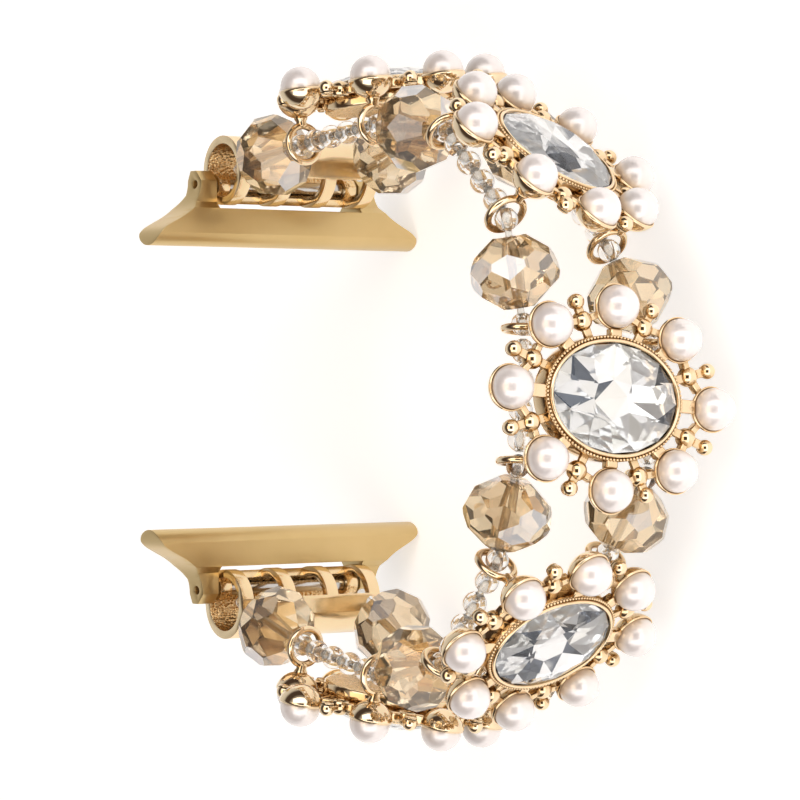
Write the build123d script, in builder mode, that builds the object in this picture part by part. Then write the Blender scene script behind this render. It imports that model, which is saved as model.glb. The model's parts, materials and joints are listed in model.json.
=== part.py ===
from build123d import *
import os
from math import asin, cos, degrees, radians, sin, sqrt

# An elastic band of five jewelled flowers strung on two clear cords with big
# faceted beads between them. It stands on edge: +Z is across the band, and the
# loop lies in the XY plane, open at the low-X side between its two end adapters.
# All lengths are in millimetres and all angles in degrees.

# Crystals and pearls
stone_length = 16.0
stone_width = 12.0
stone_crown = 1.55
stone_girdle = 0.30
stone_pavilion = 2.20
pearl_radius = 2.35
seat_clearance = 0.03

# Flower casting
bezel_wall = 0.85
bezel_rim = 0.35
bezel_back = 0.60
cup_wall = 0.25
cup_rim = 0.15
long_bridge = 1.65
short_bridge = 0.55
bridge_width = 1.50
bridge_height = 1.10
web_width = 1.00
web_height = 0.55
tie_width = 0.80
tie_height = 1.08
tie_drop = 0.42
inner_stud_radius = 1.15
outer_stud_radius = 0.90
stud_top = 0.10
stud_drop = 0.45
neck_radius = 0.80

# Back loops that the two cords run through
loop_radius = 2.15
loop_wire = 0.42
loop_depth = 5.65
strand_half_spacing = 8.40
loop_half_spacing = 7.20

# Beads and cords
bead_radius = 4.80
bead_length = 7.80
bead_bore = 0.50
bead_sides = 8
bead_face_tilt = 33.0
bead_face_share = 0.845
bead_belt_share = 0.955
seed_radius = 1.30
seed_bore = 0.45
back_seed_radius = 1.35
back_seed_count = 4
cord_radius = 0.40
seed_offset = 0.55
string_gap = 0.05
cord_inset = 0.05
knot_radius = 0.75
knot_swing = 0.50

# End connector, a ribbed cage around the spring bar
cage_radius = 4.20
cage_wall = 0.95
cage_width = 20.20
rib_width = 1.60
inner_rib_half_spacing = 3.075
plate_from = -12.0
plate_to = 250.0
cord_hole_radius = 0.85
cord_hole_half_spacing = 8.80
cord_hole_angle = 5.0
eyelet_wall = 0.55
bar_from_cage = (-2.00, -1.70)

# Spring bar
bar_radius = 0.75
bar_bore = 0.50
bar_running = 0.05
tip_radius = 0.42
tip_reach = 1.40
tip_stroke = 1.30
plunger_length = 3.60
plunger_running = 0.04
spring_wire = 0.10
spring_wire_sides = 8
spring_radius = 0.36
spring_pitch = 0.62
spring_end_gap = 0.20

# Adapter that slides into a host slot
adapter_length = 38.40
slot_depth = 4.60
tongue_low = -3.00
tongue_high = 2.10
base_cover = 0.75
ear_inner = 10.45
ear_thickness = 2.25
ear_rise = 3.80
ear_low = -1.70
ear_high = 1.35
ear_chamfer = 1.20
ear_waist = 1.60
flank_out = 1.43
flank_in = 1.93
flank_in_share = 0.42
tongue_round_share = 0.33
hole_clearance = 0.10

# Places of the loop: where the third flower stands, how each flower faces, leans
# and turns, and the heading and length of each bead gap from the upper end on
third_flower = (66.20, -1.19)
flower_facing = (95.3, 47.8, 4.5, -38.9, -99.4)
flower_lean = (4.0, -14.0, 5.0, -5.0, 6.0)
flower_turn = (1.0, 0.0, -6.0, -3.0, -2.0)
gap_heading = (13.7, -15.2, -77.9, -119.3, -167.1, -206.0)
gap_length = (11.00, 14.60, 12.00, 11.90, 14.60, 11.20)

# Pearl places as shares of the two pearl reaches, clockwise from the crown edge
pearl_place_shares = (
    (1.0, 0.0), (0.641, 0.72), (0.0, 1.0), (-0.641, 0.72),
    (-1.0, 0.0), (-0.641, -0.72), (0.0, -1.0), (0.641, -0.72),
)
# Studs stand between two pearls, at these shares of the way to their midpoint
inner_stud_share = 0.94
outer_stud_share = 1.17

# Sizes that follow from the ones above
bezel_outer = (stone_length / 2 + bezel_wall, stone_width / 2 + bezel_wall)
bezel_inner = (stone_length / 2 + seat_clearance, stone_width / 2 + seat_clearance)
cup_inner = pearl_radius + seat_clearance
cup_outer = cup_inner + cup_wall
pearl_reach = (
    bezel_outer[0] + long_bridge + cup_outer,
    bezel_outer[1] + short_bridge + cup_outer,
)
pearl_places = [(a * pearl_reach[0], b * pearl_reach[1]) for a, b in pearl_place_shares]
bezel_floor = -stone_pavilion - seat_clearance
bezel_bottom = bezel_floor - bezel_back
mid_height = pearl_reach[0] + cup_outer
seed_room = seed_offset + seed_radius + string_gap
flower_count = len(flower_facing)
gap_count = len(gap_heading)
cage_mid_radius = cage_radius - cage_wall / 2
knot_depth = cage_wall / 2 + knot_radius + knot_swing


def heading(angle):
    """A level direction, as an angle from +X."""
    return Vector(cos(radians(angle)), sin(radians(angle)), 0)


def flower_directions(facing, lean, turn):
    """The crown direction and the outward direction of a flower."""
    out = heading(facing)
    up = Vector(0, 0, 1)
    along = heading(facing - 90)
    crown = up * cos(radians(lean)) - out * sin(radians(lean))
    outward = out * cos(radians(lean)) + up * sin(radians(lean))
    crown = crown * cos(radians(turn)) + along * sin(radians(turn))
    return crown, outward


def standing_height(crown, outward):
    """How high a flower's centre stands when its lowest cup touches the ground."""
    along = outward.cross(crown)
    low = min((crown * x + along * y).Z for x, y in pearl_places)
    tilt = outward.Z
    if tilt >= 0:
        return cup_outer - low
    return cup_outer * sqrt(1 - tilt * tilt) - cup_rim * tilt - low


def flower_plane(index, fixed, anchor):
    """A flower's plane, given where one of its local points lies in the XY plane."""
    crown, outward = flower_directions(
        flower_facing[index], flower_lean[index], flower_turn[index]
    )
    along = outward.cross(crown)
    arm = crown * fixed.X + along * fixed.Y + outward * fixed.Z
    height = standing_height(crown, outward)
    origin = (anchor.X - arm.X, anchor.Y - arm.Y, height)
    return Plane(origin=origin, x_dir=crown, z_dir=outward)


def loop_point(index, side, end):
    """A back loop's centre: side +1 is the crown side, end +1 the far end."""
    local = (side * strand_half_spacing, end * loop_half_spacing, -loop_depth)
    return flower_planes[index].from_local_coords(Vector(*local))


def gap_step(index):
    return heading(gap_heading[index]) * gap_length[index]


# The flowers' planes, from the third flower out to both ends
lower_mid = Vector(0, -loop_half_spacing, -loop_depth)
upper_mid = Vector(0, loop_half_spacing, -loop_depth)
middle = flower_count // 2
flower_planes = [None] * flower_count
flower_planes[middle] = flower_plane(middle, Vector(0, 0, 0), Vector(*third_flower, 0))
for k in range(middle - 1, -1, -1):
    joined = flower_planes[k + 1].from_local_coords(lower_mid)
    flower_planes[k] = flower_plane(k, upper_mid, joined - gap_step(k + 1))
for k in range(middle + 1, flower_count):
    joined = flower_planes[k - 1].from_local_coords(upper_mid)
    flower_planes[k] = flower_plane(k, lower_mid, joined + gap_step(k))

# The two ends: where the cords' hinge line stands, and the side that faces out
first_hinge = flower_planes[0].from_local_coords(lower_mid) - gap_step(0)
last_hinge = flower_planes[-1].from_local_coords(upper_mid) + gap_step(gap_count - 1)
first_hinge = Vector(first_hinge.X, first_hinge.Y, mid_height)
last_hinge = Vector(last_hinge.X, last_hinge.Y, mid_height)
hinge_arm = heading(cord_hole_angle) * cage_mid_radius
upper_end = Plane(origin=first_hinge - hinge_arm, x_dir=(1, 0, 0), z_dir=(0, 0, 1))
lower_arm = Vector(hinge_arm.X, -hinge_arm.Y, 0)
lower_end = Plane(origin=last_hinge - lower_arm, x_dir=(1, 0, 0), z_dir=(0, 0, -1))


def strand_ends(gap, side):
    """Where a gap's cord starts and ends, and whether each end is a back loop."""
    first, last = gap == 0, gap == gap_count - 1
    lift = Vector(0, 0, side * cord_hole_half_spacing)
    start = first_hinge + lift if first else loop_point(gap - 1, side, 1)
    end = last_hinge + lift if last else loop_point(gap, side, -1)
    return start, end, not first, not last


def strand_plane(gap, side):
    """A plane at the start of a gap's cord, square to it."""
    start, end, _, _ = strand_ends(gap, side)
    return Plane(origin=start, x_dir=(0, 0, 1), z_dir=end - start)


def strand_layout(gap, side):
    """Distances along a gap's cord of its seed beads and of its big bead."""
    start, end, from_loop, to_loop = strand_ends(gap, side)
    length = (end - start).length
    low = seed_room if from_loop else 0
    high = length - seed_room if to_loop else length
    seeds = [seed_offset] if from_loop else []
    seeds += [length - seed_offset] if to_loop else []
    seed_pitch = 2 * seed_radius + string_gap
    spare = high - low - bead_length
    toward_start = gap < gap_count / 2
    if not from_loop:
        return seeds, high - bead_length / 2
    if not to_loop:
        return seeds, low + bead_length / 2
    count = int(spare // seed_pitch)
    slack = (spare - count * seed_pitch) / 2
    for n in range(count):
        step = slack + seed_radius + n * seed_pitch
        seeds.append(low + step if toward_start else high - step)
    offset = slack + count * seed_pitch + bead_length / 2
    return seeds, low + offset if toward_start else high - offset


# One flower casting, lying face up on its own XY plane
bezel_height = bezel_rim - bezel_bottom
bridge_top = -seat_clearance
stud_places = []
for n, place in enumerate(pearl_places):
    following = pearl_places[(n + 1) % len(pearl_places)]
    midpoint = ((place[0] + following[0]) / 2, (place[1] + following[1]) / 2)
    stud_places.append(midpoint)
inner_studs = [(x * inner_stud_share, y * inner_stud_share) for x, y in stud_places]
outer_studs = [(x * outer_stud_share, y * outer_stud_share) for x, y in stud_places]
loop_places = [
    (a * strand_half_spacing, b * loop_half_spacing) for a in (-1, 1) for b in (-1, 1)
]
neck_top = -cup_inner / 2
cup_rim_angle = degrees(asin(cup_rim / cup_outer))
hung = (Align.CENTER, Align.CENTER, Align.MAX)
neck_bottom = -loop_depth + loop_radius

with BuildPart() as flower_casting:
    with BuildSketch(Plane.XY.offset(bezel_bottom)):
        Ellipse(*bezel_outer)
    extrude(amount=bezel_height)
    # square bridges from the bezel to the pearl cups
    for x, y in pearl_places:
        arm = sqrt(x * x + y * y)
        aim = Plane(origin=(0, 0, bridge_top - bridge_height), x_dir=(x, y, 0), z_dir=(0, 0, 1))
        with BuildSketch(aim):
            with Locations((arm / 2, 0)):
                Rectangle(arm, bridge_width)
        extrude(amount=bridge_height)
    # thin webs that carry the studs
    for x, y in outer_studs:
        arm = sqrt(x * x + y * y)
        aim = Plane(origin=(0, 0, bridge_top - bridge_height), x_dir=(x, y, 0), z_dir=(0, 0, 1))
        with BuildSketch(aim):
            with Locations((arm / 2, 0)):
                Rectangle(arm, web_width)
        extrude(amount=web_height)
    # ties from each large stud to the cups beside it
    for n, stud in enumerate(inner_studs):
        for cup in (pearl_places[n], pearl_places[(n + 1) % len(pearl_places)]):
            way = Vector(stud[0] - cup[0], stud[1] - cup[1], 0)
            aim = Plane(
                origin=(cup[0], cup[1], bridge_top - tie_drop - tie_height),
                x_dir=way, z_dir=(0, 0, 1),
            )
            with BuildSketch(aim):
                with Locations((way.length / 2, 0)):
                    Rectangle(way.length, tie_width)
            extrude(amount=tie_height)
    # domed studs, a large one by the bezel and a small one outside it
    for places, radius in ((inner_studs, inner_stud_radius), (outer_studs, outer_stud_radius)):
        dome_centre = stud_top - radius
        stud_foot = bridge_top - bridge_height - stud_drop
        with BuildSketch(Plane.XY.offset(stud_foot)):
            with Locations(*places):
                Circle(radius)
        extrude(amount=dome_centre - stud_foot)
        with Locations(*[(x, y, dome_centre) for x, y in places]):
            Sphere(radius)
    # pearl cups, cut level a little above their middle
    with Locations(*[(x, y, cup_rim) for x, y in pearl_places]):
        Sphere(cup_outer, arc_size2=cup_rim_angle, align=hung)
    # necks and back loops
    with BuildSketch(Plane.XY.offset(neck_bottom)):
        with Locations(*loop_places):
            Circle(neck_radius)
    extrude(amount=neck_top - neck_bottom)
    for x, y in loop_places:
        with Locations(Plane(origin=(x, y, -loop_depth), x_dir=(1, 0, 0), z_dir=(0, 1, 0))):
            Torus(loop_radius, loop_wire)
    # hollows for the pearls and for the crystal
    with Locations(*[(x, y, 0) for x, y in pearl_places]):
        Sphere(cup_inner, mode=Mode.SUBTRACT)
    with BuildSketch(Plane.XY.offset(bezel_floor)):
        Ellipse(*bezel_inner)
    extrude(amount=bezel_rim - bezel_floor, mode=Mode.SUBTRACT)

# One faceted oval crystal, as level outlines joined by flat facets
stone_sides = 16
stone_back_shares = ((1.0, 0.12), (0.62, 0.52))
stone_front_shares = ((0.42, 0.90), (1.0, 0.58))
stone_levels = [(-stone_pavilion * depth, width) for depth, width in stone_back_shares]
stone_levels += [(-stone_girdle / 2, 1), (stone_girdle / 2, 1)]
stone_levels += [(stone_crown * rise, width) for rise, width in stone_front_shares]
with BuildPart() as crystal:
    for level, width in stone_levels:
        outline = []
        for n in range(stone_sides):
            turn = radians(360 * n / stone_sides)
            x = stone_length / 2 * width * cos(turn)
            y = stone_width / 2 * width * sin(turn)
            outline.append((x, y))
        with BuildSketch(Plane.XY.offset(level)):
            Polygon(*outline, align=None)
    loft(ruled=True)

# Eight pearls in their cups
with BuildPart() as pearls:
    with Locations(*[(x, y, 0) for x, y in pearl_places]):
        Sphere(pearl_radius)

# One big faceted bead, its bore along local Z
bead_blank_radius = 2 * bead_radius
with BuildPart() as big_bead:
    Cylinder(radius=bead_blank_radius, height=bead_length)
    for n in range(bead_sides):
        around = 360 * n / bead_sides
        for tilt in (bead_face_tilt, -bead_face_tilt):
            normal = heading(around) * cos(radians(tilt)) + Vector(0, 0, sin(radians(tilt)))
            face = Plane(origin=normal * bead_radius * bead_face_share, z_dir=normal)
            split(bisect_by=face, keep=Keep.BOTTOM)
        normal = heading(around + 180 / bead_sides)
        face = Plane(origin=normal * bead_radius * bead_belt_share, z_dir=normal)
        split(bisect_by=face, keep=Keep.BOTTOM)
    Hole(bead_bore)

# The row of small beads behind a flower, on both cords
row_half = loop_half_spacing - seed_radius + seed_offset / 2
row_pitch = 2 * (row_half - back_seed_radius) / (back_seed_count - 1)
row_places = [-row_half + back_seed_radius + n * row_pitch for n in range(back_seed_count)]
with BuildPart() as back_seeds:
    for side in (-1, 1):
        for y in row_places:
            spot = Vector(side * strand_half_spacing, y, -loop_depth)
            with Locations(Plane(origin=spot, x_dir=(1, 0, 0), z_dir=(0, 1, 0))):
                Sphere(back_seed_radius)
                Cylinder(seed_bore, 2 * back_seed_radius, mode=Mode.SUBTRACT)
with BuildPart() as back_cords:
    for side in (-1, 1):
        spot = Vector(side * strand_half_spacing, 0, -loop_depth)
        with Locations(Plane(origin=spot, x_dir=(1, 0, 0), z_dir=(0, 1, 0))):
            Cylinder(cord_radius, 2 * row_half)

# One end connector: a ribbed cage, centred on its own round section
bar_spot = Vector(*bar_from_cage, 0)
cage_inner = cage_radius - cage_wall
with BuildPart() as end_connector:
    # the smooth outer plate, an arc of the round section
    with BuildSketch(Plane.XY.offset(-cage_width / 2)):
        with BuildLine():
            outer = CenterArc((0, 0), cage_radius, plate_from, plate_to - plate_from)
            inner = CenterArc((0, 0), cage_inner, plate_from, plate_to - plate_from)
            Line(outer @ 0, inner @ 0)
            Line(outer @ 1, inner @ 1)
        make_face()
    extrude(amount=cage_width)
    # four full ribs
    outer_rib = (cage_width - rib_width) / 2
    for z in (-outer_rib, -inner_rib_half_spacing, inner_rib_half_spacing, outer_rib):
        with BuildSketch(Plane.XY.offset(z - rib_width / 2)):
            Circle(cage_radius)
            Circle(cage_inner, mode=Mode.SUBTRACT)
        extrude(amount=rib_width)
    # eyelets that carry the spring bar in the two outer ribs
    for z in (-outer_rib, outer_rib):
        with BuildSketch(Plane.XY.offset(z - rib_width / 2)):
            with Locations(bar_spot):
                Circle(bar_radius + bar_running + eyelet_wall)
        extrude(amount=rib_width)
    with Locations(bar_spot):
        Cylinder(bar_radius + bar_running, cage_width, mode=Mode.SUBTRACT)
    # cord holes through the plate
    for side in (-1, 1):
        spot = heading(cord_hole_angle) * cage_mid_radius
        spot = spot + Vector(0, 0, side * cord_hole_half_spacing)
        with Locations(Plane(origin=spot, x_dir=(0, 0, 1), z_dir=heading(cord_hole_angle))):
            Cylinder(cord_hole_radius, 3 * cage_wall, mode=Mode.SUBTRACT)

# Spring bar, its own axis along local Z
bar_half = ear_inner - seat_clearance - hole_clearance
spring_room = 2 * bar_half - plunger_length - tip_radius
with BuildPart() as bar_tube:
    Cylinder(bar_radius, 2 * bar_half)
    with BuildSketch(Plane.XY.offset(-bar_half - tip_reach)):
        Circle(tip_radius)
    extrude(amount=tip_reach + tip_radius)
    with BuildSketch(Plane.XY.offset(tip_radius - bar_half)):
        Circle(bar_bore)
    extrude(amount=2 * bar_half - tip_radius, mode=Mode.SUBTRACT)
with BuildPart() as bar_plunger:
    with BuildSketch(Plane.XY.offset(bar_half - plunger_length)):
        Circle(bar_bore - plunger_running)
    extrude(amount=plunger_length)
    with BuildSketch(Plane.XY.offset(bar_half)):
        Circle(tip_radius)
    extrude(amount=tip_reach)
spring_height = spring_room - 2 * spring_end_gap
with BuildPart() as bar_spring:
    with BuildLine(Plane.XY.offset(tip_radius - bar_half + spring_end_gap)) as coil:
        Helix(pitch=spring_pitch, height=spring_height, radius=spring_radius)
    with BuildSketch(Plane(origin=coil.line @ 0, z_dir=coil.line % 0)):
        RegularPolygon(spring_wire, spring_wire_sides)
    sweep()

# One adapter. Its section and its outline are crossed, in the connector's frame
ear_outer = ear_inner + ear_thickness
slot_mouth = -cage_radius - base_cover / 2
slot_floor = slot_mouth - slot_depth
ear_top = slot_mouth + ear_rise + base_cover
tongue_side = slot_floor + slot_depth * tongue_round_share
host_side = adapter_length / 2
ear_left = bar_from_cage[0] + ear_low
ear_right = bar_from_cage[0] + ear_high
tongue_left = bar_from_cage[0] + tongue_low
tongue_right = bar_from_cage[0] + tongue_high
with BuildPart() as adapter:
    # the outline across the band, extruded along X
    with BuildSketch(Plane.YZ.offset(tongue_left)):
        with BuildLine():
            Spline(
                (ear_top - ear_chamfer, ear_outer),
                (slot_mouth, ear_outer + flank_out),
                (slot_mouth - slot_depth * flank_in_share, host_side - flank_in),
                (slot_floor, host_side),
                tangents=((-1, 0), (-1, 0)),
            )
            Polyline(
                (slot_floor, host_side), (slot_floor, 0), (slot_mouth, 0), (slot_mouth, ear_inner),
                (ear_top, ear_inner), (ear_top, ear_outer), (ear_top - ear_chamfer, ear_outer),
            )
        make_face()
    extrude(amount=tongue_high - tongue_low)
    mirror(about=Plane.XY)
    # the section along the band, crossed with it
    with BuildSketch(Plane.XY.offset(-host_side)):
        with BuildLine():
            Polyline(
                (tongue_left, tongue_side), (tongue_left, slot_mouth),
                (ear_left, slot_mouth + ear_waist), (ear_left, ear_top - ear_chamfer),
                (ear_left + ear_chamfer / 2, ear_top), (ear_right - ear_chamfer, ear_top),
                (ear_right, ear_top - ear_chamfer), (ear_right, slot_mouth + base_cover),
                (tongue_right, slot_mouth), (tongue_right, tongue_side),
            )
            ThreePointArc(
                (tongue_right, tongue_side),
                ((tongue_left + tongue_right) / 2, slot_floor),
                (tongue_left, tongue_side),
            )
        make_face()
    extrude(amount=adapter_length, mode=Mode.INTERSECT)
    with Locations(bar_spot):
        Cylinder(tip_radius + hole_clearance, adapter_length, mode=Mode.SUBTRACT)


def placed(shape, plane):
    """A copy of a part, carried from its own frame to a plane."""
    return shape.moved(plane.location)


# Every node with its solids in the loop
nodes = {}
for end_name, end_plane in (("upper", upper_end), ("lower", lower_end)):
    bar_plane = Plane(
        origin=end_plane.from_local_coords(bar_spot),
        x_dir=end_plane.x_dir,
        z_dir=(0, 0, 1),
    )
    nodes[f"adapter_{end_name}"] = [placed(adapter.part, end_plane)]
    nodes[f"end_connector_{end_name}"] = [placed(end_connector.part, end_plane)]
    nodes[f"spring_bar_tube_{end_name}"] = [placed(bar_tube.part, bar_plane)]
    nodes[f"spring_bar_plunger_{end_name}"] = [placed(bar_plunger.part, bar_plane)]
    nodes[f"spring_bar_spring_{end_name}"] = [placed(bar_spring.part, bar_plane)]
for k, plane in enumerate(flower_planes):
    nodes[f"flower_casting_{k + 1}"] = [placed(flower_casting.part, plane)]
    nodes[f"flower_crystal_{k + 1}"] = [placed(crystal.part, plane)]
    nodes[f"flower_pearls_{k + 1}"] = [placed(pearls.part, plane)]
    nodes[f"back_seeds_{k + 1}"] = [placed(back_seeds.part, plane)]
    nodes[f"back_cords_{k + 1}"] = [placed(back_cords.part, plane)]

for gap in range(gap_count):
    with BuildPart() as gap_seeds:
        for side in (1, -1):
            seed_spots, _ = strand_layout(gap, side)
            for distance in seed_spots:
                with Locations(strand_plane(gap, side).offset(distance)):
                    Sphere(seed_radius)
                    Cylinder(seed_bore, 2 * seed_radius, mode=Mode.SUBTRACT)
    with BuildPart() as gap_cords:
        for side in (1, -1):
            start, end, from_loop, to_loop = strand_ends(gap, side)
            length = (end - start).length
            reach = seed_radius - seed_offset - cord_inset
            low = -reach if from_loop else -knot_depth
            high = length + reach if to_loop else length + knot_depth
            with BuildSketch(strand_plane(gap, side).offset(low)):
                Circle(cord_radius)
            extrude(amount=high - low)
            # a knot inside the connector holds the cord's end
            if not (from_loop and to_loop):
                knot = low if to_loop else high
                with Locations(strand_plane(gap, side).offset(knot)):
                    Sphere(knot_radius)
    nodes[f"gap_seeds_{gap + 1}"] = [gap_seeds.part]
    nodes[f"gap_cords_{gap + 1}"] = [gap_cords.part]
    for side, side_name in ((1, "crown"), (-1, "base")):
        _, centre = strand_layout(gap, side)
        bead_plane = strand_plane(gap, side).offset(centre)
        nodes[f"big_bead_{gap + 1}_{side_name}"] = [placed(big_bead.part, bead_plane)]

# The origin is under the middle of the whole band's box
boxes = [solid.bounding_box() for solids in nodes.values() for solid in solids]
middle_x = (min(b.min.X for b in boxes) + max(b.max.X for b in boxes)) / 2
middle_y = (min(b.min.Y for b in boxes) + max(b.max.Y for b in boxes)) / 2
lowest = min(b.min.Z for b in boxes)
frame_shift = Vector(-middle_x, -middle_y, -lowest)

os.makedirs("parts", exist_ok=True)
for name, solids in nodes.items():
    with BuildPart() as node:
        add(solids[0].moved(Location(frame_shift)))
    node.part.label = name
    export_step(node.part, f"parts/{name}.step")
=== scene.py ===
import json
import math
import random

import bmesh
import bpy
from mathutils import Matrix, Vector


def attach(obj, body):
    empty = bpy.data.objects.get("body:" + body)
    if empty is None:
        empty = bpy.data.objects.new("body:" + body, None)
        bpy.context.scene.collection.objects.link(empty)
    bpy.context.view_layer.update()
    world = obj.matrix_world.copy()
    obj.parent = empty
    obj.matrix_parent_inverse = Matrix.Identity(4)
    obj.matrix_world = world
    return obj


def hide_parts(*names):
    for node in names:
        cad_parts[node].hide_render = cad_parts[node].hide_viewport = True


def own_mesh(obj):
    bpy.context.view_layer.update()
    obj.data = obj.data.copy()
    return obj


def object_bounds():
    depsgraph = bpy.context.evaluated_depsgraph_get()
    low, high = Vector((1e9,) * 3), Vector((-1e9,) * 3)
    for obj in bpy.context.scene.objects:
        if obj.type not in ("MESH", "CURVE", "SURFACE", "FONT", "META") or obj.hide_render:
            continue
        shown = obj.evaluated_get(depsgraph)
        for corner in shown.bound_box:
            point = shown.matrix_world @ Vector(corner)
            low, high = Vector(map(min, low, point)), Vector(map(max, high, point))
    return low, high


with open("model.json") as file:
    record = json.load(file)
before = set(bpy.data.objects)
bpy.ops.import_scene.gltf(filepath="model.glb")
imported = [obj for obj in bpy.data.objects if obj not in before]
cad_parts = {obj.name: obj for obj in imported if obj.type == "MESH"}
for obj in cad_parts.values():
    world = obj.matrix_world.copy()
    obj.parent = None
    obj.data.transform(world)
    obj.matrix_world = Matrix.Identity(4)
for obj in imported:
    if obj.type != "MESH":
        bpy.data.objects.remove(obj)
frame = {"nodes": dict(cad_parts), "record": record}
cad_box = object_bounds()

MM = 0.001
UP = Vector((0, 0, 1))
joints = {joint["name"]: joint for joint in frame["record"]["behaviour"]["joints"]}

# Sizes are in millimetres, in a flower's or a bead's own frame, unless a line says otherwise

# The crystal. A share is a share of the oval, a depth is a share of the back's depth
STONE_HALF = (8.0, 6.0)
STONE_SIDES = 8
STONE_CROWN = 1.55
STONE_GIRDLE = 0.15
STONE_DEPTH = 2.20
TABLE_SHARE = 0.56
STAR_SHARE = 0.80
STAR_HEIGHT = 0.66 * STONE_CROWN
GIRDLE_SHARE = 0.995
OUTER_CUTS = (0.68, (0.42, 0.60))
INNER_CUTS = (0.36, (0.70, 0.86))
CUT_SHIFT = 0.05
CUT_TURN = 0.3
KEEL = ((2.3, 0.5, 1.0), (-2.0, -0.4, 0.96))
KEEL_SIDES = (0, 1, 6, 7)
CUT_DRAW = 3
FACET_DRAW = 5

# The bezel. Its corner's steps are (height, offset) from the back and the wall
STONE_FLOOR = -2.23
BEZEL_SIDES = 96
BEZEL_WALL = 0.85
BEZEL_LIP = 0.46
BEZEL_TOP = 0.35
BEZEL_LEDGE = -0.06
BEZEL_BACK = -2.83
BEZEL_CORNER = ((0.0, 0.35), (0.05, 0.15), (0.15, 0.05), (0.35, 0.0))
BEZEL_CHAMFER = (0.06, 0.08)
BEZEL_SINK = 0.4
GRANULAR_BANDS = 2
FIT = 0.03
GRAIN_RADIUS = 0.20
GRAIN_PITCH = 0.43
GRAIN_RISE = 0.03
GRAIN_INSET = 0.95
GRAIN_FINENESS = (8, 6)
OVAL_STEPS = 720

# The pearls, their cups and what joins them. A place is a share of the reach
PEARL_RADIUS = 2.35
PEARL_FINENESS = (48, 32)
CUP_INNER = 2.38
CUP_OUTER = 2.63
CUP_RIM = -0.30
CUP_SIDES = 56
PEARL_REACH = (13.13, 10.03)
PEARL_PLACES = (
    (1.0, 0.0), (0.641, 0.72), (0.0, 1.0), (-0.641, 0.72),
    (-1.0, 0.0), (-0.641, -0.72), (0.0, -1.0), (0.641, -0.72),
)
BRIDGE_SIZE = (1.50, 1.10)
BRIDGE_TOP = -0.03
BRIDGE_EDGE = 0.18
BRIDGE_GAP = 0.05
WEB_SIZE = (1.00, 0.55)
WEB_EDGE = 0.12
TIE_SIZE = (0.80, 1.10)
TIE_TOP = -0.45
TIE_EDGE = 0.15

# The studs, (share of the way to the middle of two pearls, radius), and their posts
INNER_STUD = (0.94, 1.15)
OUTER_STUD = (1.17, 0.90)
STUD_TOP = 0.10
STUD_FOOT = -1.55
STUD_WAIST = 35
STUD_SIDES = 28
POST_SHARE = 0.82
POST_FOOT = 0.9
POST_EDGE = 0.1
POST_TOP = 0.57

# The back loops and their necks, a neck's steps being (radius, height)
LOOP_RADIUS = 2.15
LOOP_WIRE = 0.42
LOOP_DEPTH = 5.65
LOOP_PLACE = (8.40, 7.20)
NECK_STEPS = (
    (0, -3.75), (0.50, -3.75), (0.64, -3.45), (0.60, -3.0), (0.80, -2.7), (0.80, -2.45), (0, -2.45),
)
NECK_SIDES = 20
LOOP_SIDES = 48
WIRE_SIDES = 16

# The beads. A row of cuts is (tilt in degrees, share of the radius, shift in sides)
BEAD_RADIUS = 4.80
BEAD_LENGTH = 7.80
BEAD_BORE = 0.50
BEAD_SIDES = 8
BEAD_CUTS = ((50, 0.845, 0), (17, 0.945, 0.5), (-17, 0.945, 0), (-50, 0.845, 0.5))
BORE_SIDES = 20
BEAD_DRAW = 8
SEED_RADIUS = 1.30
BACK_SEED_RADIUS = 1.35
SEED_BORE = 0.45
SEED_EDGE = (0.06, 0.03)
SEED_SIDES = 28

# The ends. The connector's arm runs from the cords to its middle, turned by some degrees.
# An edge is how wide a piece's sharp edges are rounded, the angles are in degrees
CONNECTOR_ARM = 3.725
CONNECTOR_TURN = 5
CONNECTOR_EDGE = 0.22
ADAPTER_EDGE = 0.35
BAR_EDGE = 0.06
SHARP_ANGLE = 28
CREASE_ANGLE = 35
FLAT_ANGLE = 1
SAME_SPOT = 1e-6

# The coil spring
SPRING_WIRE = 0.10
SPRING_WIRE_SIDES = 8
SPRING_RADIUS = 0.36
SPRING_PITCH = 0.62
SPRING_STEPS = 20

# The photograph's view, taken as a picture of 800 by 800 pixels
PICTURE = 800
FOCAL_PIXELS = 3420
VIEW_DISTANCE = 423 * MM
VIEW_ELEVATION = 35.73
VIEW_YAW = 0.17
VIEW_ROLL = -0.25
AIM_POINT = Vector((-34.823, 1.527, 19.200)) * MM
AIM_PIXEL = (272.5, 389.1)
SENSOR_WIDTH = 36.0
CLIP_START = 0.01

# The studio, in metres. The room's tones run from behind the part to behind the view
LIGHT_DISTANCE = 0.42
LIGHT_OFFSET = 0.285
LIGHT_BRIGHTNESS = 1.6
LONG_LIGHT = (0.26, 0.80)
SHORT_LIGHT = (0.28, 0.31)
WHITE_LIGHT = (1.0, 1.0, 1.0)
COOL_LIGHT = (0.92, 0.96, 1.0)
WARM_LIGHT = (1.0, 0.72, 0.44)
OPENING_DISTANCE = VIEW_DISTANCE + 0.06
OPENING_HALF = 0.15
OPENING_COLOUR = (0.05, 0.035, 0.025)
FLOOR_HALF = 1.5
FLOOR_COLOUR = (0.93, 0.93, 0.93)
FLOOR_GLOW = 0.55
ROOM_TONES = (
    (0.0, (0.90, 0.90, 0.90)), (0.38, (0.62, 0.61, 0.60)), (0.50, (0.07, 0.05, 0.04)),
    (0.70, (0.07, 0.05, 0.04)), (0.82, (0.50, 0.48, 0.46)), (1.0, (0.50, 0.48, 0.46)),
)


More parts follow.
